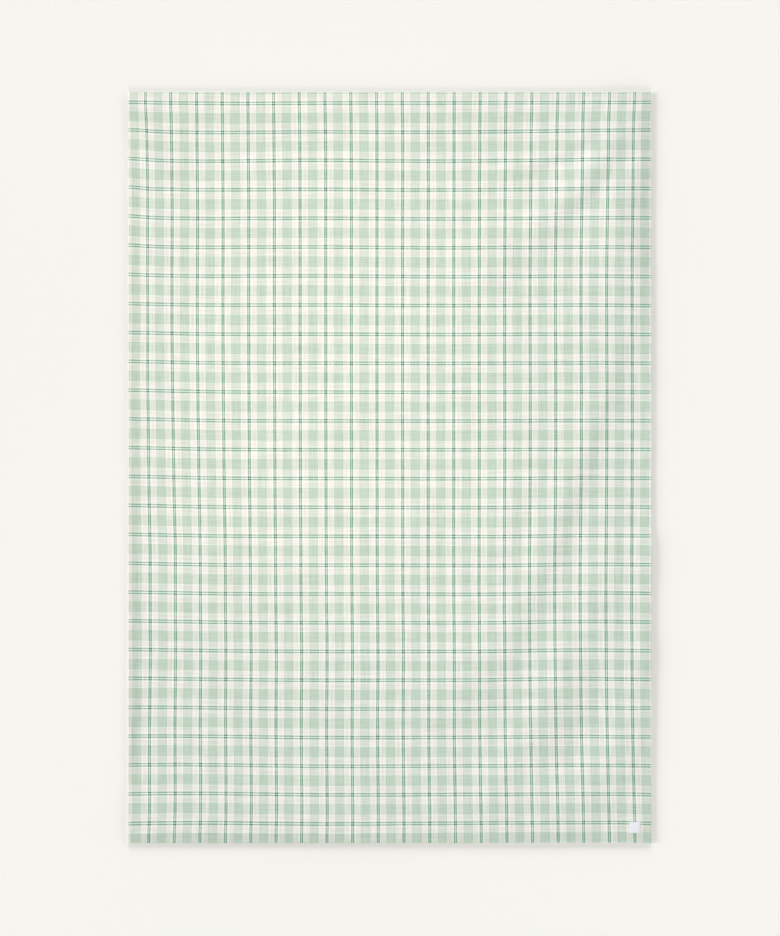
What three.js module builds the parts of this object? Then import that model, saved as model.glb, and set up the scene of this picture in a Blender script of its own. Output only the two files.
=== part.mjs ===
// A woven check tablecloth laid out flat, right side up, on a level surface.
//
// Units are millimetres. X runs across the width of the cloth (the weft), Y along its length
// (the warp) and Z up. The origin is at the middle of the cloth, on the surface it lies on.
// The cloth is one closed sheet with its hem turned under, so the hem belongs to it. It lies flat
// on the surface between a few low, soft folds, and its hemmed edges stand a little off it.
// The woven label sewn near one corner is a separate thin sheet.

import * as THREE from 'three';

// --- Driving dimensions ---------------------------------------------------------------------

const clothWidth = 1400;
const clothLength = 2010;
const clothThickness = 1.2;

const hem = {
  width: 16, // from the edge to the line where the turned layers end
  ease: 3, // over which the turned layers thin out to the single cloth
  extra: 0.9, // what the turned layers add to the thickness
};

// The stiff hemmed edge stands off the surface, unevenly along each side.
const edgeLift = {
  mean: 3.2,
  swing: 0.5,
  wavelength: 610,
};

const label = {
  width: 29,
  length: 30,
  thickness: 0.6,
  seatGap: 0.3, // clearance over the cloth, taken up by the stitches
  fromRightEdge: 44,
  fromBottomEdge: 42,
};

// Grid over the cloth: close columns where the folds are, wide ones where it lies flat.
// Each zone ends at the next one's start, and the last one at the hem.
const columnZones = [
  { name: 'left folds', start: -684, step: 34 },
  { name: 'flat middle', start: -345, step: 58 },
  { name: 'right folds', start: 178, step: 28 },
];
const rowStep = 45;

// --- Folds ----------------------------------------------------------------------------------
// Each fold is a rounded ridge along a curve from (x0, y0) to (x3, y3), drawn towards the two
// bend points between. left and right are its half widths on either side of the crest, seen
// along the curve. It rises over the share fadeIn of its length and dies away over fadeOut.

const folds = [
  { name: 'corner', x0: 680, y0: 1005, x1: 550, y1: 820, x2: 470, y2: 650, x3: 240, y3: 530,
    height: 7.2, left: 62, right: 108, fadeIn: 0.40, fadeOut: 0.60 },
  { name: 'corner upper', x0: 560, y0: 1000, x1: 525, y1: 845, x2: 470, y2: 845, x3: 110, y3: 730,
    height: 4.4, left: 35, right: 110, fadeIn: 0.38, fadeOut: 0.60 },
  { name: 'border', x0: 685, y0: 865, x1: 565, y1: 740, x2: 670, y2: 595, x3: 595, y3: 315,
    height: 6.4, left: 70, right: 150, fadeIn: 0.38, fadeOut: 0.60 },
  { name: 'upper right', x0: 530, y0: 560, x1: 530, y1: 425, x2: 520, y2: 345, x3: 400, y3: 160,
    height: 3.4, left: 130, right: 130, fadeIn: 0.35, fadeOut: 0.40 },
  { name: 'long', x0: 680, y0: 520, x1: 555, y1: 185, x2: 435, y2: -330, x3: 110, y3: -820,
    height: 3.9, left: 58, right: 125, fadeIn: 0.18, fadeOut: 0.55 },
  { name: 'tail', x0: 335, y0: -410, x1: 225, y1: -470, x2: 190, y2: -595, x3: 90, y3: -720,
    height: 2.5, left: 110, right: 150, fadeIn: 0.40, fadeOut: 0.30 },
  { name: 'second', x0: 570, y0: -15, x1: 630, y1: -385, x2: 425, y2: -620, x3: 205, y3: -980,
    height: 3.6, left: 145, right: 95, fadeIn: 0.25, fadeOut: 0.15 },
  { name: 'third', x0: 605, y0: -320, x1: 640, y1: -665, x2: 645, y2: -920, x3: 315, y3: -875,
    height: 3.6, left: 150, right: 90, fadeIn: 0.30, fadeOut: 0.15 },
  { name: 'right hem', x0: 700, y0: -150, x1: 705, y1: -265, x2: 660, y2: -360, x3: 695, y3: -580,
    height: 3.6, left: 35, right: 80, fadeIn: 0.20, fadeOut: 0.15 },
  { name: 'inner right', x0: 515, y0: 255, x1: 325, y1: -45, x2: 320, y2: -170, x3: 260, y3: -325,
    height: 3.2, left: 65, right: 150, fadeIn: 0.50, fadeOut: 0.35 },
  { name: 'shoulder', x0: 285, y0: 685, x1: 310, y1: 655, x2: 260, y2: 565, x3: 235, y3: 435,
    height: 2.1, left: 80, right: 150, fadeIn: 0.25, fadeOut: 0.25 },
  { name: 'middle', x0: 45, y0: -100, x1: 70, y1: -140, x2: 65, y2: -220, x3: 90, y3: -355,
    height: 2.0, left: 75, right: 115, fadeIn: 0.30, fadeOut: 0.45 },
  { name: 'lower middle', x0: -150, y0: -30, x1: -135, y1: -70, x2: -165, y2: -125, x3: -145, y3: -185,
    height: 1.2, left: 55, right: 75, fadeIn: 0.20, fadeOut: 0.55 },
  { name: 'upper middle', x0: -45, y0: 225, x1: -110, y1: 150, x2: -135, y2: 70, x3: -390, y3: 35,
    height: 1.6, left: 70, right: 120, fadeIn: 0.50, fadeOut: 0.20 },
  { name: 'left outer', x0: -685, y0: 945, x1: -665, y1: 820, x2: -565, y2: 740, x3: -460, y3: 555,
    height: 3.8, left: 40, right: 40, fadeIn: 0.10, fadeOut: 0.50 },
  { name: 'left inner', x0: -500, y0: 830, x1: -470, y1: 755, x2: -405, y2: 690, x3: -345, y3: 580,
    height: 1.5, left: 50, right: 45, fadeIn: 0.40, fadeOut: 0.25 },
  { name: 'upper side', x0: -410, y0: 495, x1: -460, y1: 360, x2: -515, y2: 235, x3: -480, y3: 70,
    height: 1.1, left: 110, right: 65, fadeIn: 0.15, fadeOut: 0.12 },
  { name: 'lower side', x0: -520, y0: -95, x1: -520, y1: -185, x2: -445, y2: -305, x3: -465, y3: -415,
    height: 2.2, left: 95, right: 90, fadeIn: 0.60, fadeOut: 0.35 },
];

// --- Shape of the laid-out cloth ------------------------------------------------------------

const stepsAlongFold = 60;

const crests = folds.map((fold) => {
  const curve = new THREE.CubicBezierCurve(
    new THREE.Vector2(fold.x0, fold.y0),
    new THREE.Vector2(fold.x1, fold.y1),
    new THREE.Vector2(fold.x2, fold.y2),
    new THREE.Vector2(fold.x3, fold.y3),
  );
  return { fold, points: curve.getPoints(stepsAlongFold) };
});

// Nearest place on a crest: how far away, how far along, and on which side.
function nearestOnCrest(points, x, y) {
  const place = new THREE.Vector2(x, y);
  let nearest = { distance: Infinity };
  for (let index = 1; index < points.length; index += 1) {
    const step = points[index].clone().sub(points[index - 1]);
    const away = place.clone().sub(points[index - 1]);
    const share = THREE.MathUtils.clamp(away.dot(step) / step.lengthSq(), 0, 1);
    const distance = away.distanceTo(step.clone().multiplyScalar(share));
    if (distance < nearest.distance) {
      const along = (index - 1 + share) / (points.length - 1);
      nearest = { distance, along, onLeft: step.cross(away) > 0 };
    }
  }
  return nearest;
}

function ridgeHeight({ fold, points }, x, y) {
  const { distance, along, onLeft } = nearestOnCrest(points, x, y);
  const halfWidth = onLeft ? fold.left : fold.right;
  if (distance >= halfWidth) return 0;
  const section = Math.cos((Math.PI * distance) / (2 * halfWidth)) ** 2;
  const rise = THREE.MathUtils.smoothstep(along, 0, fold.fadeIn);
  const fall = THREE.MathUtils.smoothstep(1 - along, 0, fold.fadeOut);
  return fold.height * section * rise * fall;
}

const foldHeight = (x, y) => crests.reduce((sum, crest) => sum + ridgeHeight(crest, x, y), 0);

const distanceToEdge = (x, y) =>
  Math.min(clothWidth / 2 - Math.abs(x), clothLength / 2 - Math.abs(y));

// 1 over the hem's turned layers, 0 over the single cloth.
function hemShare(x, y) {
  const inside = hem.width - distanceToEdge(x, y);
  return THREE.MathUtils.clamp(inside / hem.ease, 0, 1);
}

function hemLift(x, y) {
  const share = THREE.MathUtils.clamp(1 - distanceToEdge(x, y) / hem.width, 0, 1);
  const phase = (2 * Math.PI * (x + y)) / edgeLift.wavelength;
  return share * (edgeLift.mean + edgeLift.swing * Math.sin(phase));
}

const underside = (x, y) => foldHeight(x, y) + hemLift(x, y);
const topSide = (x, y) => underside(x, y) + clothThickness + hem.extra * hemShare(x, y);

// --- Closed thin sheet over a rectangular grid ------------------------------------------------

function sheetGeometry(columns, rows, lowerZ, upperZ) {
  const positions = [];
  const indices = [];
  const layerSize = columns.length * rows.length;
  const at = (column, row, layer) => layer * layerSize + row * columns.length + column;
  const quad = (a, b, c, d) => indices.push(a, b, c, a, c, d);

  for (const surface of [lowerZ, upperZ]) {
    for (const y of rows) {
      for (const x of columns) positions.push(x, y, surface(x, y));
    }
  }

  const lastColumn = columns.length - 1;
  const lastRow = rows.length - 1;
  for (let row = 0; row < lastRow; row += 1) {
    for (let column = 0; column < lastColumn; column += 1) {
      quad(at(column, row, 1), at(column + 1, row, 1), at(column + 1, row + 1, 1), at(column, row + 1, 1));
      quad(at(column, row, 0), at(column, row + 1, 0), at(column + 1, row + 1, 0), at(column + 1, row, 0));
    }
  }
  for (let column = 0; column < lastColumn; column += 1) {
    quad(at(column, 0, 0), at(column + 1, 0, 0), at(column + 1, 0, 1), at(column, 0, 1));
    quad(at(column + 1, lastRow, 0), at(column, lastRow, 0), at(column, lastRow, 1), at(column + 1, lastRow, 1));
  }
  for (let row = 0; row < lastRow; row += 1) {
    quad(at(0, row + 1, 0), at(0, row, 0), at(0, row, 1), at(0, row + 1, 1));
    quad(at(lastColumn, row, 0), at(lastColumn, row + 1, 0), at(lastColumn, row + 1, 1), at(lastColumn, row, 1));
  }

  const geometry = new THREE.BufferGeometry();
  geometry.setAttribute('position', new THREE.Float32BufferAttribute(positions, 3));
  geometry.setIndex(indices);
  geometry.computeVertexNormals();
  return geometry;
}

// Even stations from start up to, and not including, end.
function stations(start, end, step) {
  const count = Math.max(1, Math.round((end - start) / step));
  return Array.from({ length: count }, (_, index) => start + ((end - start) * index) / count);
}

// Edge, where the hem starts to thin, and where it ends, on one side of a sheet.
function hemStations(halfSize, sign) {
  const offsets = [0, hem.width - hem.ease, hem.width];
  const places = offsets.map((offset) => sign * (halfSize - offset));
  return sign < 0 ? places : places.reverse();
}

function clothColumns() {
  const inner = clothWidth / 2 - hem.width;
  const between = columnZones.flatMap((zone, index) => {
    const end = columnZones[index + 1]?.start ?? inner;
    return stations(zone.start, end, zone.step);
  });
  return [...hemStations(clothWidth / 2, -1), ...between.slice(1), ...hemStations(clothWidth / 2, 1)];
}

function clothRows() {
  const inner = clothLength / 2 - hem.width;
  const between = stations(-inner, inner, rowStep);
  return [...hemStations(clothLength / 2, -1), ...between.slice(1), ...hemStations(clothLength / 2, 1)];
}

// --- Pieces -----------------------------------------------------------------------------------

function makeCloth() {
  const geometry = sheetGeometry(clothColumns(), clothRows(), underside, topSide);
  const material = new THREE.MeshStandardMaterial({ color: 0xdfe6d8, roughness: 0.9, metalness: 0 });
  const mesh = new THREE.Mesh(geometry, material);
  mesh.name = 'cloth';
  return mesh;
}

function makeLabel() {
  const columns = [-label.width / 2, 0, label.width / 2];
  const rows = [-label.length / 2, 0, label.length / 2];
  const geometry = sheetGeometry(columns, rows, () => 0, () => label.thickness);
  const material = new THREE.MeshStandardMaterial({ color: 0xebe8f2, roughness: 0.75, metalness: 0 });
  const mesh = new THREE.Mesh(geometry, material);
  mesh.name = 'label';
  mesh.position.set(
    clothWidth / 2 - label.fromRightEdge,
    -clothLength / 2 + label.fromBottomEdge,
    clothThickness + label.seatGap,
  );
  return mesh;
}

const group = new THREE.Group();
group.add(makeCloth(), makeLabel());

export default group;
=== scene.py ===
"""A woven check tablecloth, laid out flat and face up on a pale floor."""

import math
from collections import namedtuple

import bmesh
import bpy
import numpy as np
from bpy.props import FloatProperty, FloatVectorProperty, PointerProperty
from mathutils import Matrix, Vector, noise


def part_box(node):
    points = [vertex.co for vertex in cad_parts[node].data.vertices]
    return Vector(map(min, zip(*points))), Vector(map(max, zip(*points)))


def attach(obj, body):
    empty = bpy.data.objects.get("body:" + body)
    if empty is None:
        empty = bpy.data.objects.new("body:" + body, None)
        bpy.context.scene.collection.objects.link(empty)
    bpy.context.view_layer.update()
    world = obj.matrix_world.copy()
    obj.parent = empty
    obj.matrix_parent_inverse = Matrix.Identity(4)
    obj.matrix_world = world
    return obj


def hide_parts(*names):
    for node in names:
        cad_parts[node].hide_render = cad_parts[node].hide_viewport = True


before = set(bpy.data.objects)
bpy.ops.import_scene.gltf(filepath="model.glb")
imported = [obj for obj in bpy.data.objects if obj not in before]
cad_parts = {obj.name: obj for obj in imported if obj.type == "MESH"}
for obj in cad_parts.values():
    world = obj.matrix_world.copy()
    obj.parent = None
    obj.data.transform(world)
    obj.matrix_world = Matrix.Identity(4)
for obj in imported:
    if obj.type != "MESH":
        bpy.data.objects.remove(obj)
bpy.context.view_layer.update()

bl_info = {
    "name": "Check Tablecloth",
    "version": (1, 0, 0),
    "blender": (4, 5, 0),
    "location": "3D View > Sidebar > Tablecloth",
    "description": "Lays out a hemmed check tablecloth with its label, its stitches and a studio floor",
    "category": "Add Mesh",
}

CLOTH_LOW, CLOTH_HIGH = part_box("cloth")
LABEL_LOW, LABEL_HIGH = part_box("label")
LABEL_MIDDLE = (LABEL_LOW + LABEL_HIGH) / 2

# The pattern's map. It counts repeats of the check, so one repeat fills the unit square.
PATTERN_MAP = "OFBake"


def from_srgb(red, green, blue):
    """A colour written in steps of 255 on a screen, as scene-linear light."""

    def linear(step):
        share = step / 255
        return share / 12.92 if share <= 0.04045 else ((share + 0.055) / 1.055) ** 2.4

    return linear(red), linear(green), linear(blue)


# ---------------------------------------------------------------------------------------------
# The check: one repeat of the warp and one of the weft, counted in threads.

Stripe = namedtuple("Stripe", "yarn threads")
WARP = (
    Stripe("sage", 3),
    Stripe("pale_green", 44),
    Stripe("sage", 3),
    Stripe("white", 4),
    Stripe("cream", 23),
    Stripe("white", 9),
    Stripe("dark_green", 5),
    Stripe("mint", 5),
    Stripe("dark_green", 5),
    Stripe("white", 9),
    Stripe("cream", 22),
    Stripe("white", 4),
)
WEFT = (
    Stripe("sage", 3),
    Stripe("pale_green", 43),
    Stripe("sage", 3),
    Stripe("white", 4),
    Stripe("cream", 24),
    Stripe("white", 8),
    Stripe("dark_green", 5),
    Stripe("pale_mint", 6),
    Stripe("dark_green", 5),
    Stripe("white", 8),
    Stripe("cream", 23),
    Stripe("white", 4),
)
THREADS = sum(stripe.threads for stripe in WARP)  # the weft has as many


def pair_share(repeat):
    """Middle of the pair of fine dark lines, as a share of the repeat."""
    yarns = [stripe.yarn for stripe in repeat]
    middle = yarns.index("dark_green") + 1
    return (sum(stripe.threads for stripe in repeat[:middle]) + repeat[middle].threads / 2) / THREADS


# Where two pairs of lines cross, close to the middle of the cloth.
CROSSING = Vector((0.0346, -0.0291))

# Places where the threads have been pulled out of line, in metres: where, how far each pull
# reaches, and how far it moves the threads across and along the cloth.
Pull = namedtuple("Pull", "name x y reach_x reach_y across along")
PULLS = (
    Pull("top left", -0.60, 0.90, 0.50, 0.15, -0.0036, 0.0004),
    Pull("left hem, upper", -0.70, 0.75, 0.05, 0.25, 0.0006, 0.0060),
    Pull("top right", 0.85, 1.00, 0.50, 0.05, 0.0034, -0.0052),
    Pull("upper right", 0.85, 1.05, 0.60, 0.40, 0.0048, 0.0072),
    Pull("upper right hem", 0.70, 0.90, 0.05, 0.35, -0.0048, 0.0006),
    Pull("upper left", -0.65, 0.40, 0.25, 0.45, -0.0078, -0.0008),
    Pull("upper middle", -0.20, 0.85, 0.20, 0.10, 0.0008, 0.0034),
    Pull("shoulder", -0.25, 0.60, 0.30, 0.30, 0, 0.0068),
    Pull("left hem", -0.70, 1.00, 0.05, 0.90, 0.0052, -0.0014),
    Pull("left hem, lower", -0.80, 0.15, 0.30, 0.90, 0.0100, 0.0086),
    Pull("lower left", -0.65, -0.25, 0.35, 0.15, 0.0032, -0.0008),
    Pull("belly", -0.30, 0.45, 0.40, 0.90, -0.0014, -0.0054),
    Pull("middle", -0.25, 0.05, 0.30, 0.40, 0.0004, 0.0038),
    Pull("right fold", 0.40, -0.30, 0.25, 0.20, -0.0004, -0.0034),
    Pull("right fold, lower", 0.50, -0.40, 0.20, 0.35, -0.0038, 0.0048),
    Pull("lower middle", -0.70, -0.50, 0.90, 0.15, 0.0034, 0.0008),
    Pull("bottom left", -0.50, -0.90, 0.25, 0.30, 0.0044, 0.0048),
    Pull("bottom right", 0.60, -1.15, 0.90, 0.35, 0.0076, 0.0072),
    Pull("right hem, low", 0.70, -0.50, 0.05, 0.90, -0.0016, 0),
    Pull("right side, upper", 0.55, 0.50, 0.25, 0.25, -0.0022, 0.0006),
    Pull("left edge", -0.70, -0.25, 0.05, 0.30, -0.0042, 0),
    Pull("left edge, upper", -0.70, 0.40, 0.05, 0.10, 0.0036, -0.0002),
    Pull("bottom edge", -0.85, -1.00, 0.90, 0.05, -0.0024, -0.0050),
    Pull("top edge", -0.66, 1.00, 0.08, 0.08, -0.0056, 0),
    Pull("right hem, foot", 0.70, -0.95, 0.05, 0.15, 0.0012, -0.0028),
    Pull("right hem, high", 0.70, 0.48, 0.12, 0.22, 0, -0.0017),
    Pull("right hem, lower", 0.70, -0.72, 0.05, 0.30, 0, 0.0010),
    Pull("left hem, top", -0.70, 0.89, 0.10, 0.05, 0, 0.0015),
    Pull("left hem, foot", -0.68, -1.00, 0.06, 0.12, 0.0014, 0),
    Pull("top hem, right", -0.15, 1.00, 0.35, 0.05, -0.0016, 0.0028),
    Pull("top hem, left", -0.53, 1.00, 0.13, 0.05, -0.0018, 0.0008),
)


def pulled(x, y):
    """How far the threads at each point lie from their even places."""
    across, along = np.zeros_like(x), np.zeros_like(x)
    for pull in PULLS:
        nearness = np.exp(-(((x - pull.x) / pull.reach_x) ** 2) - ((y - pull.y) / pull.reach_y) ** 2)
        across += pull.across * nearness
        along += pull.along * nearness
    return across, along


# ---------------------------------------------------------------------------------------------
# The lie of the cloth. Each fold is a rounded ridge along a curve from start to end, drawn
# towards two bends, with its height and its half widths left and right of the crest. It rises
# over the share fade_in of its length and dies away over fade_out. Metres throughout.

Fold = namedtuple("Fold", "name start bend_a bend_b end height left right fade_in fade_out")
FOLDS = (
    Fold("corner", (0.680, 1.005), (0.550, 0.820), (0.470, 0.650), (0.240, 0.530),
         0.0072, 0.062, 0.108, 0.40, 0.60),
    Fold("corner upper", (0.560, 1.000), (0.525, 0.845), (0.470, 0.845), (0.110, 0.730),
         0.0044, 0.035, 0.110, 0.38, 0.60),
    Fold("border", (0.685, 0.865), (0.565, 0.740), (0.670, 0.595), (0.595, 0.315),
         0.0064, 0.070, 0.150, 0.38, 0.60),
    Fold("upper right", (0.530, 0.560), (0.530, 0.425), (0.520, 0.345), (0.400, 0.160),
         0.0034, 0.130, 0.130, 0.35, 0.40),
    Fold("long", (0.680, 0.520), (0.555, 0.185), (0.435, -0.330), (0.110, -0.820),
         0.0039, 0.058, 0.125, 0.18, 0.55),
    Fold("tail", (0.335, -0.410), (0.225, -0.470), (0.190, -0.595), (0.090, -0.720),
         0.0025, 0.110, 0.150, 0.40, 0.30),
    Fold("second", (0.570, -0.015), (0.630, -0.385), (0.425, -0.620), (0.205, -0.980),
         0.0036, 0.145, 0.095, 0.25, 0.15),
    Fold("third", (0.605, -0.320), (0.640, -0.665), (0.645, -0.920), (0.315, -0.875),
         0.0036, 0.150, 0.090, 0.30, 0.15),
    Fold("right hem", (0.700, -0.150), (0.705, -0.265), (0.660, -0.360), (0.695, -0.580),
         0.0036, 0.035, 0.080, 0.20, 0.15),
    Fold("inner right", (0.515, 0.255), (0.325, -0.045), (0.320, -0.170), (0.260, -0.325),
         0.0032, 0.065, 0.150, 0.50, 0.35),
    Fold("shoulder", (0.285, 0.685), (0.310, 0.655), (0.260, 0.565), (0.235, 0.435),
         0.0021, 0.080, 0.150, 0.25, 0.25),
    Fold("middle", (0.045, -0.100), (0.070, -0.140), (0.065, -0.220), (0.090, -0.355),
         0.0020, 0.075, 0.115, 0.30, 0.45),
    Fold("lower middle", (-0.150, -0.030), (-0.135, -0.070), (-0.165, -0.125), (-0.145, -0.185),
         0.0012, 0.055, 0.075, 0.20, 0.55),
    Fold("upper middle", (-0.045, 0.225), (-0.110, 0.150), (-0.135, 0.070), (-0.390, 0.035),
         0.0016, 0.070, 0.120, 0.50, 0.20),
    Fold("left outer", (-0.685, 0.945), (-0.665, 0.820), (-0.565, 0.740), (-0.460, 0.555),
         0.0038, 0.040, 0.040, 0.10, 0.50),
    Fold("left inner", (-0.500, 0.830), (-0.470, 0.755), (-0.405, 0.690), (-0.345, 0.580),
         0.0015, 0.050, 0.045, 0.40, 0.25),
    Fold("upper side", (-0.410, 0.495), (-0.460, 0.360), (-0.515, 0.235), (-0.480, 0.070),
         0.0011, 0.110, 0.065, 0.15, 0.12),
    Fold("lower side", (-0.520, -0.095), (-0.520, -0.185), (-0.445, -0.305), (-0.465, -0.415),
         0.0022, 0.095, 0.090, 0.60, 0.35),
)
STEPS_ALONG_FOLD = 60

# How the stiff hemmed edge stands off the floor at places along each side: the height of the
# underside at the hem's inner line and at the very edge, and how far in the cloth is down again.
Edge = namedtuple("Edge", "side along inner outer reach")
EDGES = (
    Edge("left", -0.65, 0.0000, 0.0038, 0.12),
    Edge("left", 0.00, 0.0008, 0.0031, 0.15),
    Edge("left", 0.65, 0.0028, 0.0032, 0.20),
    Edge("right", -0.75, 0.0022, 0.0042, 0.15),
    Edge("right", -0.35, 0.0008, 0.0036, 0.15),
    Edge("right", 0.20, 0.0018, 0.0044, 0.20),
    Edge("right", 0.60, 0.0056, 0.0038, 0.30),
    Edge("bottom", -0.45, 0.0060, 0.0036, 0.35),
    Edge("bottom", 0.00, 0.0050, 0.0040, 0.32),
    Edge("bottom", 0.45, 0.0044, 0.0040, 0.30),
    Edge("top", -0.45, 0.0050, 0.0034, 0.15),
    Edge("top", 0.45, 0.0046, 0.0034, 0.15),
)


def smoothstep(share):
    share = np.clip(share, 0, 1)
    return share * share * (3 - 2 * share)


def crest_of(fold):
    """Points along a fold's crest, which is a cubic curve."""
    t = np.linspace(0, 1, STEPS_ALONG_FOLD + 1)[:, None]
    start, bend_a, bend_b, end = (np.array(place) for place in fold[1:5])
    bends = 3 * t * (1 - t) ** 2 * bend_a + 3 * t ** 2 * (1 - t) * bend_b
    return (1 - t) ** 3 * start + bends + t ** 3 * end


def fold_height(fold, x, y):
    """How high one fold stands at each point."""
    crest = crest_of(fold)
    reach = max(fold.left, fold.right)
    (low_x, low_y), (high_x, high_y) = crest.min(axis=0) - reach, crest.max(axis=0) + reach
    close = np.flatnonzero((x > low_x) & (x < high_x) & (y > low_y) & (y < high_y))
    step = np.diff(crest, axis=0)
    away = np.stack([x[close], y[close]], axis=-1)[:, None] - crest[:-1]
    share = np.clip((away * step).sum(-1) / (step ** 2).sum(-1), 0, 1)
    gap = away - share[..., None] * step
    distance = np.hypot(gap[..., 0], gap[..., 1])
    every, nearest = np.arange(len(close)), distance.argmin(axis=1)
    gap, distance = gap[every, nearest], distance[every, nearest]
    on_left = step[nearest, 0] * gap[:, 1] > step[nearest, 1] * gap[:, 0]
    spread = np.clip(distance / np.where(on_left, fold.left, fold.right), 0, 1)
    along = (nearest + share[every, nearest]) / STEPS_ALONG_FOLD
    fade = smoothstep(along / fold.fade_in) * smoothstep((1 - along) / fold.fade_out)
    height = np.zeros_like(x)
    height[close] = fold.height * np.cos(spread * math.pi / 2) ** 2 * fade
    return height


def ripple_height(x, y, cloth):
    """The slight unevenness left between the folds, never below the floor."""
    reach = cloth.ripple_reach
    coarse = [noise.noise((px / reach, py / reach, 0)) for px, py in zip(x, y)]
    fine = [noise.noise((2.3 * px / reach, 1.7 * py / reach, 5)) for px, py in zip(x, y)]
    return cloth.ripple_height * np.clip(0.6 + 0.7 * np.array(coarse) + 0.3 * np.array(fine), 0, None)


def inset_of(x, y, cloth):
    """How far each point lies in from the nearest edge."""
    return np.minimum(cloth.width / 2 - abs(x), cloth.length / 2 - abs(y))


def floor_gap(x, y, cloth):
    """Height of the underside over the floor: folds, unevenness and the stiff edge's lift.

    The hem's lower layers hang below the single cloth, so its top runs on smoothly.
    """
    height = sum(fold_height(fold, x, y) for fold in FOLDS)
    height += ripple_height(x, y, cloth) + edge_height(x, y, cloth)
    return height - hem_rise(inset_of(x, y, cloth), cloth)


def edge_height(x, y, cloth):
    """How high the stiff hem lifts the cloth: softly up to its inner line, and straight beyond."""
    across, along = cloth.width / 2, cloth.length / 2
    sides = {
        "left": (across + x, y),
        "right": (across - x, y),
        "bottom": (along + y, x),
        "top": (along - y, x),
    }
    height = np.zeros_like(x)
    for side, (inset, place) in sides.items():
        edges = [edge for edge in EDGES if edge.side == side]
        inner, outer, reach = (
            np.interp(place, [edge.along for edge in edges], [getattr(edge, name) for edge in edges])
            for name in ("inner", "outer", "reach")
        )
        climb = smoothstep((reach - inset) / (reach - cloth.hem_fall))
        tilt = np.clip(1 - inset / cloth.hem_fall, 0, 1)
        height = np.maximum(height, inner * climb + (outer - inner) * tilt)
    return cloth.edge_lift * height


def hem_rise(inset, cloth):
    """How far the upper layer stands over the single cloth where the hem's layers lie below."""
    return 2 * cloth.layer_pitch * smoothstep((cloth.hem_fall - inset) / (cloth.hem_fall - cloth.hem_width))


def top_of_cloth(x, y, cloth):
    rise = hem_rise(inset_of(x, y, cloth), cloth)
    return floor_gap(x, y, cloth) + rise + cloth.thickness


# ---------------------------------------------------------------------------------------------
# Settings


class ClothSettings(bpy.types.PropertyGroup):
    width: FloatProperty(
        name="Width", description="Finished width, hem to hem",
        default=CLOTH_HIGH.x - CLOTH_LOW.x, unit="LENGTH")
    length: FloatProperty(
        name="Length", description="Finished length, hem to hem",
        default=CLOTH_HIGH.y - CLOTH_LOW.y, unit="LENGTH")
    thickness: FloatProperty(
        name="Thickness", description="Thickness of the single cloth",
        default=0.0006, unit="LENGTH", precision=5)
    layer_pitch: FloatProperty(
        name="Layer Pitch", description="From one layer of the turned hem to the next",
        default=0.00065, unit="LENGTH", precision=5)
    hem_width: FloatProperty(
        name="Hem Width", description="From the edge to the hem's inner fold",
        default=0.016, unit="LENGTH")
    hem_fall: FloatProperty(
        name="Hem Fall", description="From the edge to where the hem has thinned out to the single cloth",
        default=0.027, unit="LENGTH")
    # Painted shade: the hem band is darkened along the edges, partly for its three layers.
    painted_hem_shade: FloatProperty(
        name="Painted Hem Shade", description="Brightness of the layered hem against the single cloth",
        default=0.96, min=0.5, max=1)
    tuck: FloatProperty(
        name="Tuck", description="Width of the layer tucked in between the other two",
        default=0.012, unit="LENGTH")
    seam_inset: FloatProperty(
        name="Seam Inset", description="From the edge to the line of stitches",
        default=0.0135, unit="LENGTH")
    edge_lift: FloatProperty(
        name="Edge Lift", description="How much of its usual height the stiff edge stands off the floor",
        default=1, min=0, max=2)
    ripple_height: FloatProperty(
        name="Ripple Height", description="Height of the slight unevenness between the folds",
        default=0.0004, unit="LENGTH", precision=5)
    ripple_reach: FloatProperty(
        name="Ripple Reach", description="Size of that unevenness",
        default=0.11, unit="LENGTH")
    cell: FloatProperty(
        name="Mesh Cell", description="Size of the mesh's cells",
        default=0.011, unit="LENGTH")
    repeat_across: FloatProperty(
        name="Repeat Across", description="Width of one repeat of the check",
        default=0.0684, unit="LENGTH", precision=4)
    repeat_along: FloatProperty(
        name="Repeat Along", description="Length of one repeat of the check",
        default=0.0772, unit="LENGTH", precision=4)
    cream: FloatVectorProperty(
        name="Cream Yarn", description="Colour of the ground",
        default=from_srgb(245, 243, 236), subtype="COLOR")
    white: FloatVectorProperty(
        name="White Yarn", description="Colour of the narrow stripes beside the lines and the blocks",
        default=from_srgb(250, 255, 248), subtype="COLOR")
    mint: FloatVectorProperty(
        name="Mint Yarn", description="Colour between the two lines of each pair along the cloth",
        default=from_srgb(198, 227, 213), subtype="COLOR")
    pale_mint: FloatVectorProperty(
        name="Pale Mint Yarn", description="Colour between the two lines of each pair across the cloth",
        default=from_srgb(230, 255, 240), subtype="COLOR")
    pale_green: FloatVectorProperty(
        name="Pale Green Yarn", description="Colour of the blocks",
        default=from_srgb(204, 220, 205), subtype="COLOR")
    sage: FloatVectorProperty(
        name="Sage Yarn", description="Colour of the blocks' edges",
        default=from_srgb(198, 215, 199), subtype="COLOR")
    dark_green: FloatVectorProperty(
        name="Dark Green Yarn", description="Colour of the fine double lines",
        default=from_srgb(38, 121, 84), subtype="COLOR")


class LabelSettings(bpy.types.PropertyGroup):
    width: FloatProperty(
        name="Width", description="Width of the label",
        default=LABEL_HIGH.x - LABEL_LOW.x, unit="LENGTH")
    length: FloatProperty(
        name="Length", description="Length of the label",
        default=LABEL_HIGH.y - LABEL_LOW.y, unit="LENGTH")
    thickness: FloatProperty(
        name="Thickness", description="Thickness of the woven ribbon",
        default=0.0005, unit="LENGTH", precision=5)
    puff: FloatProperty(
        name="Puff", description="How far the middle stands up between the stitches",
        default=0.0004, unit="LENGTH", precision=5)
    margin: FloatProperty(
        name="Stitch Margin", description="From the label's edge to its stitches",
        default=0.0018, unit="LENGTH", precision=4)
    colour: FloatVectorProperty(
        name="Colour", description="Colour of the ribbon",
        default=from_srgb(247, 248, 254), subtype="COLOR")


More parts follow.
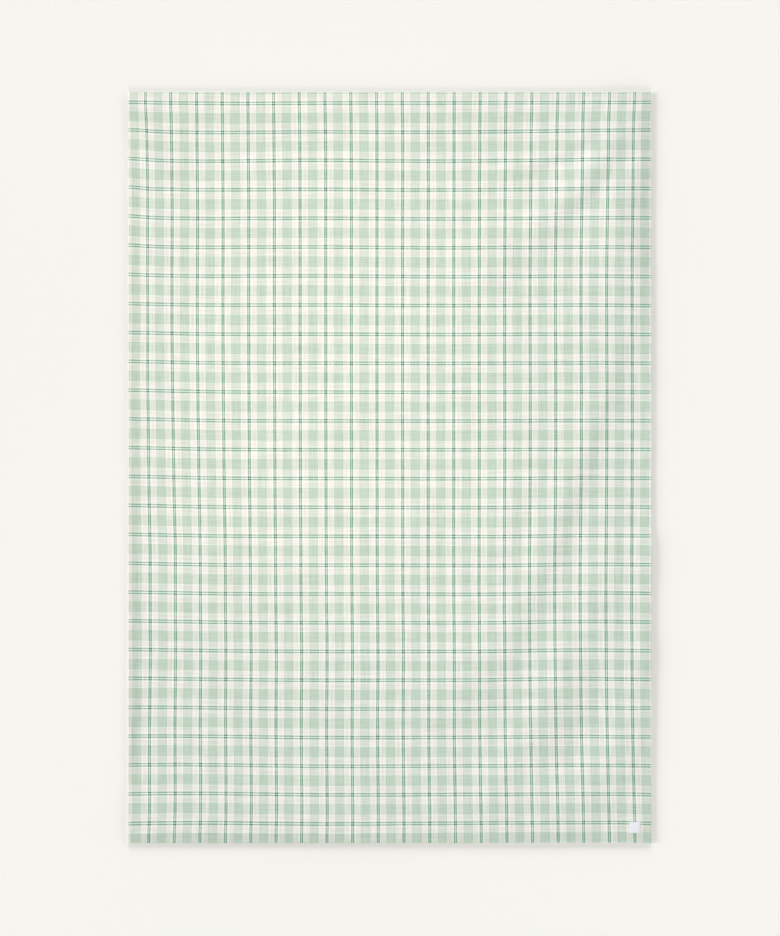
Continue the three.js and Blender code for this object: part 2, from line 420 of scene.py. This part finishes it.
class StitchSettings(bpy.types.PropertyGroup):
    length: FloatProperty(
        name="Stitch Length", description="From one stitch of the hem to the next",
        default=0.0031, unit="LENGTH", precision=4)
    label_length: FloatProperty(
        name="Label Stitch Length", description="From one stitch of the label to the next",
        default=0.0022, unit="LENGTH", precision=4)
    share: FloatProperty(
        name="Stitch Share", description="How much of that length shows as thread",
        default=0.84, min=0.1, max=1)
    thread: FloatProperty(
        name="Thread", description="Diameter of the sewing thread",
        default=0.00042, unit="LENGTH", precision=5)
    colour: FloatVectorProperty(
        name="Thread Colour", description="Colour of the sewing thread",
        default=from_srgb(238, 234, 224), subtype="COLOR")


class StageSettings(bpy.types.PropertyGroup):
    floor_size: FloatProperty(
        name="Floor Size", description="Side of the floor",
        default=14.0, unit="LENGTH")
    floor_colour: FloatVectorProperty(
        name="Floor Colour", description="Colour of the floor and of the room behind it",
        default=from_srgb(240, 241, 238), subtype="COLOR")
    view_height: FloatProperty(
        name="View Height", description="Length of floor that the camera takes in",
        default=2.5075, unit="LENGTH")
    lens: FloatProperty(
        name="Lens", description="Focal length of the camera in millimetres",
        default=100, min=20, max=300)
    room: FloatProperty(
        name="Room Light", description="Strength of the even light from all round",
        default=0.03, min=0, max=3)
    overhead: FloatProperty(
        name="Overhead Lamp", description="Power of the wide soft lamp over the cloth",
        default=1.85, unit="POWER")
    overhead_share: FloatProperty(
        name="Overhead Share", description="How much of the light under that lamp comes from it",
        default=0.16, min=0, max=1)
    low_rise: FloatProperty(
        name="Low Lamps' Rise", description="How high the low lamps stand over the floor",
        default=math.radians(14), unit="ROTATION")
    low_spread: FloatProperty(
        name="Low Lamps' Spread", description="How wide each low lamp looks from the cloth",
        default=math.radians(24), unit="ROTATION")


class TableclothSettings(bpy.types.PropertyGroup):
    cloth: PointerProperty(type=ClothSettings)
    label: PointerProperty(type=LabelSettings)
    stitches: PointerProperty(type=StitchSettings)
    stage: PointerProperty(type=StageSettings)


# ---------------------------------------------------------------------------------------------
# Materials


class Shader:
    """A new node material and short ways to fill it."""

    def __init__(self, name):
        self.material = bpy.data.materials.new(name)
        self.material.use_nodes = True
        self.nodes = self.material.node_tree.nodes
        self.links = self.material.node_tree.links
        self.surface = self.nodes["Principled BSDF"]

    def add(self, kind, inputs=None, **settings):
        """A node. An input is a value, or another node's output to link from."""
        node = self.nodes.new(kind)
        for key, value in settings.items():
            setattr(node, key, value)
        for key, value in (inputs or {}).items():
            self.put(node.inputs[key], value)
        return node

    def put(self, socket, value):
        if isinstance(value, bpy.types.NodeSocket):
            self.links.new(value, socket)
        else:
            socket.default_value = value

    def math(self, operation, *values):
        return self.add("ShaderNodeMath", dict(enumerate(values)), operation=operation).outputs[0]

    def mix(self, share, first, second):
        """A colour between two, weighed by share."""
        node = self.add("ShaderNodeMix", data_type="RGBA", clamp_factor=True)
        self.put(node.inputs[0], share)
        self.put(node.inputs[6], first)
        self.put(node.inputs[7], second)
        return node.outputs[2]

    def vector(self, operation, *values):
        """Arithmetic on whole colours."""
        return self.add("ShaderNodeVectorMath", dict(enumerate(values)), operation=operation).outputs[0]

    def scaled(self, colour, factor):
        """A colour made lighter or darker."""
        node = self.add("ShaderNodeVectorMath", operation="SCALE")
        self.put(node.inputs["Vector"], colour)
        self.put(node.inputs["Scale"], factor)
        return node.outputs["Vector"]

    def speckle(self, place, scale):
        """Soft noise from 0 to 1."""
        inputs = {"Vector": place, "Scale": scale, "Detail": 2.0}
        return self.add("ShaderNodeTexNoise", inputs).outputs[0]

    def varied(self, noise_value, swing):
        """A factor about 1, which swings with a noise from 0 to 1."""
        return self.math("MULTIPLY_ADD", noise_value, 2 * swing, 1 - swing)

    def emboss(self, relief, strength, distance):
        """Fine relief on the surface. A relief of 1 stands for the distance."""
        inputs = {"Strength": strength, "Distance": distance, "Height": relief}
        self.put(self.surface.inputs["Normal"], self.add("ShaderNodeBump", inputs).outputs[0])


def yarn_ramp(shader, place, repeat, cloth):
    """The yarn's colour at a place along the repeat."""
    ramp = shader.add("ShaderNodeValToRGB", {"Fac": shader.math("FRACT", place)})
    ramp.color_ramp.interpolation = "CONSTANT"
    stops, counted = ramp.color_ramp.elements, 0
    for number, stripe in enumerate(repeat):
        share = counted / THREADS
        stop = stops[number] if number < len(stops) else stops.new(share)
        stop.position = share
        stop.color = (*getattr(cloth, stripe.yarn), 1)
        counted += stripe.threads
    return ramp.outputs["Color"]


def painted_hem_shade(shader, place, cloth):
    """A factor for the hem: painted shade along the edges, partly for its three layers, which let less
    light through than the single cloth.
    """
    split = shader.add("ShaderNodeSeparateXYZ", {"Vector": place}).outputs
    insets = [
        shader.math("SUBTRACT", side / 2, shader.math("ABSOLUTE", split[axis]))
        for axis, side in enumerate((cloth.width, cloth.length))
    ]
    inset = shader.math("MINIMUM", *insets)
    blend = 0.002
    steps = {"Value": inset, 1: cloth.hem_fall - blend, 2: cloth.hem_fall, 3: cloth.painted_hem_shade, 4: 1.0}
    return shader.add("ShaderNodeMapRange", steps).outputs[0]


# The plain weave. The warp's share of what shows where it lies under and over the weft, and
# how much two dyed yarns deepen each other.
WARP_UNDER, WARP_OVER = 0.39, 0.69
DEEPENING = 0.25
# How much slubs change a thread's tone, how far they differ from one thread to the next, and
# how close they follow each other in one repeat of the warp and of the weft.
SLUB_SWING = 0.25
SLUB_DRIFT = 0.14
SLUBS_ALONG_WARP, SLUBS_ALONG_WEFT = 0.9, 0.8
# How far a thread dips where it dives, how deep the painted shade in the hollows between threads
# is, the relief's mean over the weave, and how much wear changes the tone from place to place.
THREAD_DIP = 0.4
HOLLOW_SHADE_DEPTH = 0.16
MEAN_RELIEF = 0.544
WEAR_SWING = 0.012


def woven_check(cloth):
    """Yarn-dyed plain weave: warp and weft cross thread by thread, and each shows in turn."""
    shader = Shader("woven_check")
    pattern = shader.add("ShaderNodeUVMap", uv_map=PATTERN_MAP).outputs["UV"]
    split = shader.add("ShaderNodeSeparateXYZ", {"Vector": pattern}).outputs
    across, along = split["X"], split["Y"]
    warp_count = shader.math("MULTIPLY", across, THREADS)
    weft_count = shader.math("MULTIPLY", along, THREADS)
    warp_number = shader.math("FLOOR", warp_count)
    weft_number = shader.math("FLOOR", weft_count)

    # 1 where the warp thread lies on top, 0 where the weft does.
    both = shader.math("ADD", warp_number, weft_number)
    warp_up = shader.math("MULTIPLY", shader.math("FRACT", shader.math("MULTIPLY", both, 0.5)), 2)

    def roundness(count):
        """1 along the middle of a thread and 0 between two."""
        return shader.math("SINE", shader.math("MULTIPLY", shader.math("FRACT", count), math.pi))

    def crowned(own_round, other_round):
        """Relief of the thread on top, highest where it crosses over the other."""
        crown = shader.math("MULTIPLY_ADD", other_round, THREAD_DIP, 1 - THREAD_DIP)
        return shader.math("MULTIPLY", own_round, crown)

    warp_round, weft_round = roundness(warp_count), roundness(weft_count)
    over_weft = crowned(warp_round, weft_round)
    over_warp = crowned(weft_round, warp_round)
    relief = shader.add("ShaderNodeMix", {0: warp_up, 2: over_warp, 3: over_weft}).outputs[0]

    def slubs(number, place, closeness):
        """A factor for the thick and thin stretches along each thread."""
        drift = shader.math("MULTIPLY", number, SLUB_DRIFT)
        where = {"X": drift, "Y": shader.math("MULTIPLY", place, closeness)}
        soft = shader.speckle(shader.add("ShaderNodeCombineXYZ", where).outputs[0], 1.0)
        return shader.varied(soft, SLUB_SWING)

    warp = shader.scaled(
        yarn_ramp(shader, across, WARP, cloth), slubs(warp_number, along, SLUBS_ALONG_WARP))
    weft = shader.scaled(
        yarn_ramp(shader, along, WEFT, cloth), slubs(weft_number, across, SLUBS_ALONG_WEFT))

    # Light passes between neighbouring threads, so neither shows pure, and two dyed yarns
    # that cross look deeper than either.
    share = shader.math("MULTIPLY_ADD", warp_up, WARP_OVER - WARP_UNDER, WARP_UNDER)
    taken = [shader.vector("SUBTRACT", (1, 1, 1), yarn) for yarn in (warp, weft)]
    deepened = shader.scaled(shader.vector("MULTIPLY", *taken), DEEPENING)
    woven = shader.vector("SUBTRACT", shader.mix(share, weft, warp), deepened)
    # Painted shade: the hollows between threads are darkened and the crowns lightened, about a mean of 1.
    painted_hollow_shade = shader.math("MULTIPLY_ADD", relief, HOLLOW_SHADE_DEPTH, 1 - HOLLOW_SHADE_DEPTH * MEAN_RELIEF)
    place = shader.add("ShaderNodeTexCoord").outputs["Object"]
    wear = shader.varied(shader.speckle(place, 7.0), WEAR_SWING)
    # The hem band gets its painted shade here as well.
    tone = shader.math("MULTIPLY", shader.math("MULTIPLY", painted_hollow_shade, wear), painted_hem_shade(shader, place, cloth))
    shader.put(shader.surface.inputs["Base Color"], shader.scaled(woven, tone))

    shader.emboss(relief, 0.5, 0.0001)
    shader.surface.inputs["Roughness"].default_value = 0.88
    shader.surface.inputs["Specular IOR Level"].default_value = 0.25
    return shader.material


RIBS_ALONG, RIBS_ACROSS = 90, 130  # over the label


def ribbon_weave(label):
    """Close satin ribbon with fine ribs along and across it, with painted shade in the grooves between the
    ribs.
    """
    shader = Shader("ribbon_weave")
    place = shader.add("ShaderNodeUVMap", uv_map="ribbon").outputs["UV"]
    split = shader.add("ShaderNodeSeparateXYZ", {"Vector": place}).outputs
    ribs = shader.math("SINE", shader.math("MULTIPLY", split["Y"], 2 * math.pi * RIBS_ALONG))
    ends = shader.math("SINE", shader.math("MULTIPLY", split["X"], 2 * math.pi * RIBS_ACROSS))
    relief = shader.math("MULTIPLY_ADD", shader.math("MULTIPLY", ribs, ends), 0.5, 0.5)
    fleck = shader.varied(shader.speckle(place, 60.0), 0.03)
    # Painted shade: the ribs' relief darkens the grooves and lightens the ridges; the flecks are the
    # ribbon's own.
    tone = shader.math("MULTIPLY", shader.math("MULTIPLY_ADD", relief, 0.06, 0.96), fleck)
    shader.put(shader.surface.inputs["Base Color"], shader.scaled((*label.colour,), tone))
    shader.emboss(relief, 0.4, 0.00005)
    shader.surface.inputs["Roughness"].default_value = 0.62
    shader.surface.inputs["Specular IOR Level"].default_value = 0.4
    return shader.material


def sewing_thread(stitches, name, colour):
    """Twisted thread: fine slanting plies along each stitch, with painted shade between the plies."""
    shader = Shader(name)
    place = shader.add("ShaderNodeTexCoord").outputs["Object"]
    split = shader.add("ShaderNodeSeparateXYZ", {"Vector": place}).outputs
    slant = shader.math("ADD", split["X"], split["Y"])
    twist = shader.math("SINE", shader.math("MULTIPLY", slant, 2 * math.pi / stitches.thread))
    # Painted shade: the thread is darker between its plies and lighter along them.
    tone = shader.math("MULTIPLY_ADD", twist, 0.05, 0.97)
    shader.put(shader.surface.inputs["Base Color"], shader.scaled(colour, tone))
    shader.emboss(twist, 0.4, 0.00005)
    shader.surface.inputs["Roughness"].default_value = 0.7
    return shader.material


# ---------------------------------------------------------------------------------------------
# Shapes

NEAR = 1e-6  # metres, for telling whether a vertex lies on a line


def piece_from(name, bm, material):
    """The finished bmesh as an object in the scene, shaded smooth."""
    mesh = bpy.data.meshes.new(name)
    bm.to_mesh(mesh)
    bm.free()
    mesh.shade_smooth()
    mesh.materials.append(material)
    piece = bpy.data.objects.new(name, mesh)
    bpy.context.scene.collection.objects.link(piece)
    return piece


def places_of(mesh):
    """The mesh's vertices, one row each."""
    places = np.empty(3 * len(mesh.vertices))
    mesh.vertices.foreach_get("co", places)
    return places.reshape(-1, 3)


def raise_by(mesh, heights):
    """Lifts each vertex by its own height."""
    places = places_of(mesh)
    places[:, 2] += heights
    mesh.vertices.foreach_set("co", places.ravel())
    mesh.update()


# How deep the stitches draw the hem in, as a share of the distance between its layers, and
# half the width of the dent.
SEAM_DIMPLE = 0.3
SEAM_DENT = 0.0012


def hem_section(cloth):
    """The hem cut through, from the single cloth outwards: inset from the edge, and height.

    The upper layer runs out to the edge, rolls under, runs back below, turns up at the hem's
    inner fold and ends tucked in between.
    """
    pitch, seam = cloth.layer_pitch, cloth.seam_inset
    top, dimple = 2 * pitch, SEAM_DIMPLE * pitch
    rim, bead = cloth.thickness / 2, 0.5 * pitch
    steps = [share * (cloth.hem_width - cloth.hem_fall) for share in (0, 0.25, 0.5, 0.75, 1)]
    fall = [cloth.hem_fall + step for step in steps]

    # Up from the single cloth, over the stitches' dent, and out to a slight bead.
    section = [(inset, float(hem_rise(inset, cloth))) for inset in fall]
    section += [(seam + SEAM_DENT, top), (seam, top - dimple), (seam - SEAM_DENT, top)]
    section += [(0.008, top + 0.3 * dimple), (0.0055, top), (0.0012, top + bead)]
    # Round the edge and back below.
    section += [
        (rim + 0.4 * pitch * (1 - math.sin(angle)), (pitch + bead / 2) * (1 + math.cos(angle)))
        for angle in np.linspace(0, math.pi, 6)
    ]
    section += [(0.006, 0), (seam - SEAM_DENT, 0), (seam, dimple), (seam + SEAM_DENT, 0)]
    # Round the inner fold, and the layer tucked in between.
    section += [
        (cloth.hem_width - pitch / 2 + pitch / 2 * math.sin(angle), pitch / 2 - pitch / 2 * math.cos(angle))
        for angle in np.linspace(0, math.pi, 4)
    ]
    section += [(0.009, pitch), (cloth.hem_width - cloth.tuck, pitch)]
    return section


def next_ring(bm, rim, cloth, inset, height, cut):
    """Extrudes the rim, a rectangle of edges, to a new inset and height.

    cut is how far the ring lies out from the middle along the cloth itself, were it unfolded.
    """
    cut_layers = [bm.verts.layers.float[name] for name in ("cut_x", "cut_y")]
    halves = (cloth.width / 2, cloth.length / 2)
    on_rim = {vert for edge in rim for vert in edge.verts}
    reach = [max(vert.co[axis] for vert in on_rim) for axis in (0, 1)]
    made = bmesh.ops.extrude_edge_only(bm, edges=rim)["geom"]
    for vert in (part for part in made if isinstance(part, bmesh.types.BMVert)):
        for axis in (0, 1):
            if abs(abs(vert.co[axis]) - reach[axis]) < NEAR:
                vert.co[axis] = math.copysign(halves[axis] - inset, vert.co[axis])
                vert[cut_layers[axis]] = math.copysign(halves[axis] + cut, vert.co[axis])
        vert.co.z = height
    return [part for part in made if isinstance(part, bmesh.types.BMEdge) and part.is_boundary]


def flat_cloth(cloth):
    """The hemmed cloth on a perfectly flat floor, as the middle surface of its layers."""
    bm = bmesh.new()
    names = ("cut_x", "cut_y")
    for name in names:
        bm.verts.layers.float.new(name)
    inner = (cloth.width - 2 * cloth.hem_fall, cloth.length - 2 * cloth.hem_fall)
    cells = [round(side / cloth.cell) for side in inner]
    bmesh.ops.create_grid(bm, x_segments=cells[0], y_segments=cells[1], size=0.5)
    bmesh.ops.scale(bm, vec=(inner[0], inner[1], 1), verts=bm.verts)
    layers = [bm.verts.layers.float[name] for name in names]
    for vert in bm.verts:
        vert[layers[0]], vert[layers[1]] = vert.co.x, vert.co.y

    rim = [edge for edge in bm.edges if edge.is_boundary]
    section = hem_section(cloth)
    cut = -section[0][0]
    for before, (inset, height) in zip(section, section[1:]):
        cut += math.hypot(inset - before[0], height - before[1])
        rim = next_ring(bm, rim, cloth, inset, height, cut)
    return bm, cut


def lay_pattern(mesh, cloth):
    count = len(mesh.loops)
    corners = np.empty(count, int)
    mesh.loops.foreach_get("vertex_index", corners)
    places = places_of(mesh)[corners, :2]
    cut = np.empty((2, len(mesh.vertices)))
    for axis, name in enumerate(("cut_x", "cut_y")):
        mesh.attributes[name].data.foreach_get("value", cut[axis])
        mesh.attributes.remove(mesh.attributes[name])
    middles = np.empty(3 * len(mesh.polygons))
    mesh.polygons.foreach_get("center", middles)
    sizes = np.empty(len(mesh.polygons), int)
    mesh.polygons.foreach_get("loop_total", sizes)
    gaps = np.array([cloth.width, cloth.length]) / 2 - abs(middles.reshape(-1, 3)[:, :2])
    on_side = np.repeat(gaps[:, 0] < gaps[:, 1], sizes)

    x = np.where(on_side, cut[0][corners], places[:, 0])
    y = np.where(on_side, places[:, 1], cut[1][corners])
    across, along = pulled(x, y)
    u = (x - across - CROSSING.x) / cloth.repeat_across + pair_share(WARP)
    v = (y - along - CROSSING.y) / cloth.repeat_along + pair_share(WEFT)
    mesh.uv_layers.new(name=PATTERN_MAP).data.foreach_set("uv", np.stack([u, v], axis=-1).ravel())


def one_stitch(bm, length, thread):
    """A stitch lying along X from the origin: a small round of thread with both ends sunk."""
    made = bmesh.ops.create_uvsphere(bm, u_segments=6, v_segments=4, radius=0.5)["verts"]
    bmesh.ops.rotate(bm, verts=made, matrix=Matrix.Rotation(math.pi / 2, 3, "Y"))
    bmesh.ops.scale(bm, verts=made, vec=(length, thread, thread))
    bmesh.ops.translate(bm, verts=made, vec=(length / 2, 0, 0))
    return made


def row_of_stitches(bm, start, turn, run, pitch, stitches):
    """A straight row of stitches from start, turned about Z."""
    count = max(2, round(run / pitch))
    step = run / count
    first = one_stitch(bm, step * stitches.share, stitches.thread)
    parts = first + list({edge for vert in first for edge in vert.link_edges})
    parts += list({face for vert in first for face in vert.link_faces})
    before = set(bm.verts) - set(first)
    bmesh.ops.spin(
        bm, geom=parts, cent=(0, 0, 0), axis=(0, 0, 1), angle=0,
        dvec=(step, 0, 0), steps=count - 1, use_duplicate=True)
    row = [vert for vert in bm.verts if vert not in before]
    bmesh.ops.rotate(bm, verts=row, cent=(0, 0, 0), matrix=Matrix.Rotation(turn, 3, "Z"))
    bmesh.ops.translate(bm, verts=row, vec=start)


def ring_of_stitches(middle, width, length, pitch, stitches):
    """Four rows round a rectangle."""
    bm = bmesh.new()
    x, y = width / 2, length / 2
    quarter = math.pi / 2
    corners = ((-x, -y, width), (x, -y, length), (x, y, width), (-x, y, length))
    for number, (corner_x, corner_y, run) in enumerate(corners):
        start = middle + Vector((corner_x, corner_y, 0))
        row_of_stitches(bm, start, number * quarter, run, pitch, stitches)
    return bm


# ---------------------------------------------------------------------------------------------
# Operators


class TABLECLOTH_OT_lay_cloth(bpy.types.Operator):
    """Lay out the hemmed cloth with its check and its folds"""

    bl_idname = "tablecloth.lay_cloth"
    bl_label = "Lay Cloth"

    def execute(self, context):
        cloth = context.scene.tablecloth.cloth
        bm, cut = flat_cloth(cloth)
        piece = piece_from("check_cloth", bm, woven_check(cloth))
        lay_pattern(piece.data, cloth)
        x, y = places_of(piece.data)[:, :2].T
        raise_by(piece.data, floor_gap(x, y, cloth) + cloth.thickness / 2)
        shell = piece.modifiers.new("thickness", "SOLIDIFY")
        shell.thickness = cloth.thickness
        shell.offset = 0

        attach(piece, "root")
        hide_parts("cloth")
        return {"FINISHED"}


class TABLECLOTH_OT_stitch_hem(bpy.types.Operator):
    """Sew the hem down with a line of stitches on each face"""

    bl_idname = "tablecloth.stitch_hem"
    bl_label = "Stitch Hem"

    def execute(self, context):
        settings = context.scene.tablecloth
        cloth, stitches = settings.cloth, settings.stitches
        thread = sewing_thread(stitches, "hem_thread", (*stitches.colour,))
        width, length = cloth.width - 2 * cloth.seam_inset, cloth.length - 2 * cloth.seam_inset
        below_face = SEAM_DIMPLE * cloth.layer_pitch - stitches.thread * 0.2
        for name, upper in (("hem_stitches_upper", True), ("hem_stitches_lower", False)):
            bm = ring_of_stitches(Vector(), width, length, stitches.length, stitches)
            piece = piece_from(name, bm, thread)
            x, y = places_of(piece.data)[:, :2].T
            if upper:
                heights = top_of_cloth(x, y, cloth) - below_face
            else:
                heights = floor_gap(x, y, cloth) + below_face
            raise_by(piece.data, heights)
            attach(piece, "root")
        return {"FINISHED"}


class TABLECLOTH_OT_sew_label(bpy.types.Operator):
    """Sew the bare woven label on near the corner"""

    bl_idname = "tablecloth.sew_label"
    bl_label = "Sew Label"

    def execute(self, context):
        settings = context.scene.tablecloth
        cloth, label, stitches = settings.cloth, settings.label, settings.stitches
        middle = Vector((LABEL_MIDDLE.x, LABEL_MIDDLE.y, 0))
        bm = bmesh.new()
        bmesh.ops.create_grid(bm, x_segments=40, y_segments=30, size=0.5)
        ribbon = bm.loops.layers.uv.new("ribbon")
        for face in bm.faces:
            for loop in face.loops:
                loop[ribbon].uv = loop.vert.co.xy
        bmesh.ops.scale(bm, vec=(label.width, label.length, 1), verts=bm.verts)
        bmesh.ops.translate(bm, vec=middle, verts=bm.verts)
        piece = piece_from("woven_label", bm, ribbon_weave(label))
        x, y = places_of(piece.data)[:, :2].T
        edge = np.minimum(label.width / 2 - abs(x - middle.x), label.length / 2 - abs(y - middle.y))
        puff = label.puff * smoothstep((edge - label.margin) / (2 * label.margin))
        puff += 0.5 * label.puff * smoothstep(1 - edge / label.margin)
        raise_by(piece.data, top_of_cloth(x, y, cloth) + puff + 0.6 * label.thickness)
        shell = piece.modifiers.new("thickness", "SOLIDIFY")
        shell.thickness = label.thickness
        shell.offset = 0
        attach(piece, "root")
        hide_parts("label")

        thread = sewing_thread(stitches, "label_thread", (*label.colour,))
        bm = ring_of_stitches(
            middle, label.width - 2 * label.margin, label.length - 2 * label.margin,
            stitches.label_length, stitches)
        sewn = piece_from("label_stitches", bm, thread)
        x, y = places_of(sewn.data)[:, :2].T
        raise_by(sewn.data, top_of_cloth(x, y, cloth) + 1.1 * label.thickness)
        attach(sewn, "root")
        return {"FINISHED"}


# The low soft lamps round the room: degrees turned left from the top of the cloth, and share
# of the light on the floor.
LowLamp = namedtuple("LowLamp", "name turn share")
LOW_LAMPS = (
    LowLamp("left_lamp", 90, 0.28),
    LowLamp("top_lamp", 0, 0.27),
    LowLamp("bottom_lamp", 180, 0.165),
    LowLamp("right_lamp", 270, 0.13),
)
OVERHEAD_PLACE = Vector((-0.18, 0.40, 0.67))
OVERHEAD_SIZE = (1.1, 1.85)
OVERHEAD_TINT = (1.14, 1.0, 0.88)
# How far from under that lamp its light on the floor has faded to a third.
OVERHEAD_REACH = (0.87, 1.18)
# The camera hangs over this place, hardly off the middle of the cloth.
CAMERA_PLACE = (0.0005, -0.0009)


class TABLECLOTH_OT_set_stage(bpy.types.Operator):
    """Set up the pale floor, the soft lamps and the camera straight above"""

    bl_idname = "tablecloth.set_stage"
    bl_label = "Set Stage"

    def execute(self, context):
        stage = context.scene.tablecloth.stage
        self.lay_floor(stage)
        self.light_room(context.scene, stage)
        self.hang_lamps(context.scene, stage)
        self.place_camera(context.scene, stage)
        context.scene.view_settings.view_transform = "Standard"
        return {"FINISHED"}

    def lay_floor(self, stage):
        """A matt floor. To the camera it glows where the overhead lamp fades, so it looks even."""
        shader = Shader("pale_floor")
        colour = (*stage.floor_colour, 1)
        surface = shader.surface.inputs
        surface["Base Color"].default_value = colour
        surface["Roughness"].default_value = 1
        surface["Specular IOR Level"].default_value = 0
        glow = [channel * tint for channel, tint in zip(colour, OVERHEAD_TINT)]
        surface["Emission Color"].default_value = (*glow, 1)
        place = shader.add("ShaderNodeTexCoord").outputs["Object"]
        split = shader.add("ShaderNodeSeparateXYZ", {"Vector": place}).outputs
        squares = []
        for axis in (0, 1):
            off = shader.math("SUBTRACT", split[axis], OVERHEAD_PLACE[axis])
            off = shader.math("DIVIDE", off, OVERHEAD_REACH[axis])
            squares.append(shader.math("MULTIPLY", off, off))
        lit = shader.math("EXPONENT", shader.math("MULTIPLY", shader.math("ADD", *squares), -1))
        missing = shader.math("MULTIPLY", shader.math("SUBTRACT", 1, lit), stage.overhead_share)
        to_camera = shader.add("ShaderNodeLightPath").outputs["Is Camera Ray"]
        shader.put(surface["Emission Strength"], shader.math("MULTIPLY", missing, to_camera))
        bm = bmesh.new()
        bmesh.ops.create_grid(bm, x_segments=1, y_segments=1, size=stage.floor_size / 2)
        piece_from("floor", bm, shader.material)

    def light_room(self, scene, stage):
        """Even light from all round. The camera sees the floor's colour instead."""
        world = bpy.data.worlds.new("room")
        world.use_nodes = True
        nodes, links = world.node_tree.nodes, world.node_tree.links
        light = nodes["Background"]
        light.inputs["Color"].default_value = (1, 1, 1, 1)
        light.inputs["Strength"].default_value = stage.room
        seen = nodes.new("ShaderNodeBackground")
        seen.inputs["Color"].default_value = (*stage.floor_colour, 1)
        path = nodes.new("ShaderNodeLightPath")
        either = nodes.new("ShaderNodeMixShader")
        links.new(path.outputs["Is Camera Ray"], either.inputs[0])
        links.new(light.outputs[0], either.inputs[1])
        links.new(seen.outputs[0], either.inputs[2])
        links.new(either.outputs[0], nodes["World Output"].inputs["Surface"])
        scene.world = world

    def hang_lamps(self, scene, stage):
        overhead = bpy.data.lights.new("overhead_lamp", "AREA")
        overhead.energy = stage.overhead
        overhead.color = OVERHEAD_TINT
        overhead.shape = "RECTANGLE"
        overhead.size, overhead.size_y = OVERHEAD_SIZE
        hung = bpy.data.objects.new(overhead.name, overhead)
        hung.location = OVERHEAD_PLACE
        hung.visible_camera = False
        scene.collection.objects.link(hung)
        for low in LOW_LAMPS:
            lamp = bpy.data.lights.new(low.name, "SUN")
            lamp.energy = low.share * math.pi / math.sin(stage.low_rise)
            lamp.angle = stage.low_spread
            hung = bpy.data.objects.new(low.name, lamp)
            # A lamp shines down until it is tipped, and then away from where it stands.
            hung.rotation_euler = (-(math.pi / 2 - stage.low_rise), 0, math.radians(low.turn))
            scene.collection.objects.link(hung)

    def place_camera(self, scene, stage):
        camera = bpy.data.cameras.new("camera")
        camera.lens = stage.lens
        camera.sensor_width = 36
        camera.clip_end = 100
        seat = bpy.data.objects.new("camera", camera)
        seat.location = (*CAMERA_PLACE, stage.view_height * stage.lens / camera.sensor_width)
        scene.collection.objects.link(seat)
        scene.camera = seat


class TABLECLOTH_PT_panel(bpy.types.Panel):
    """Lists the steps and the sizes that they use"""

    bl_label = "Tablecloth"
    bl_idname = "TABLECLOTH_PT_panel"
    bl_space_type = "VIEW_3D"
    bl_region_type = "UI"
    bl_category = "Tablecloth"

    def draw(self, context):
        settings = context.scene.tablecloth
        for step, group in STEPS:
            box = self.layout.box()
            box.operator(step.bl_idname)
            values = getattr(settings, group)
            for name in values.__annotations__:
                box.prop(values, name)


STEPS = (
    (TABLECLOTH_OT_lay_cloth, "cloth"),
    (TABLECLOTH_OT_stitch_hem, "stitches"),
    (TABLECLOTH_OT_sew_label, "label"),
    (TABLECLOTH_OT_set_stage, "stage"),
)
CLASSES = (
    ClothSettings,
    LabelSettings,
    StitchSettings,
    StageSettings,
    TableclothSettings,
    *(step for step, group in STEPS),
    TABLECLOTH_PT_panel,
)


def register():
    for cls in CLASSES:
        bpy.utils.register_class(cls)
    bpy.types.Scene.tablecloth = PointerProperty(type=TableclothSettings)


def unregister():
    del bpy.types.Scene.tablecloth
    for cls in reversed(CLASSES):
        bpy.utils.unregister_class(cls)


def main():
    register()
    bpy.ops.tablecloth.lay_cloth()
    bpy.ops.tablecloth.stitch_hem()
    bpy.ops.tablecloth.sew_label()
    bpy.ops.tablecloth.set_stage()


if __name__ == "__main__":
    main()
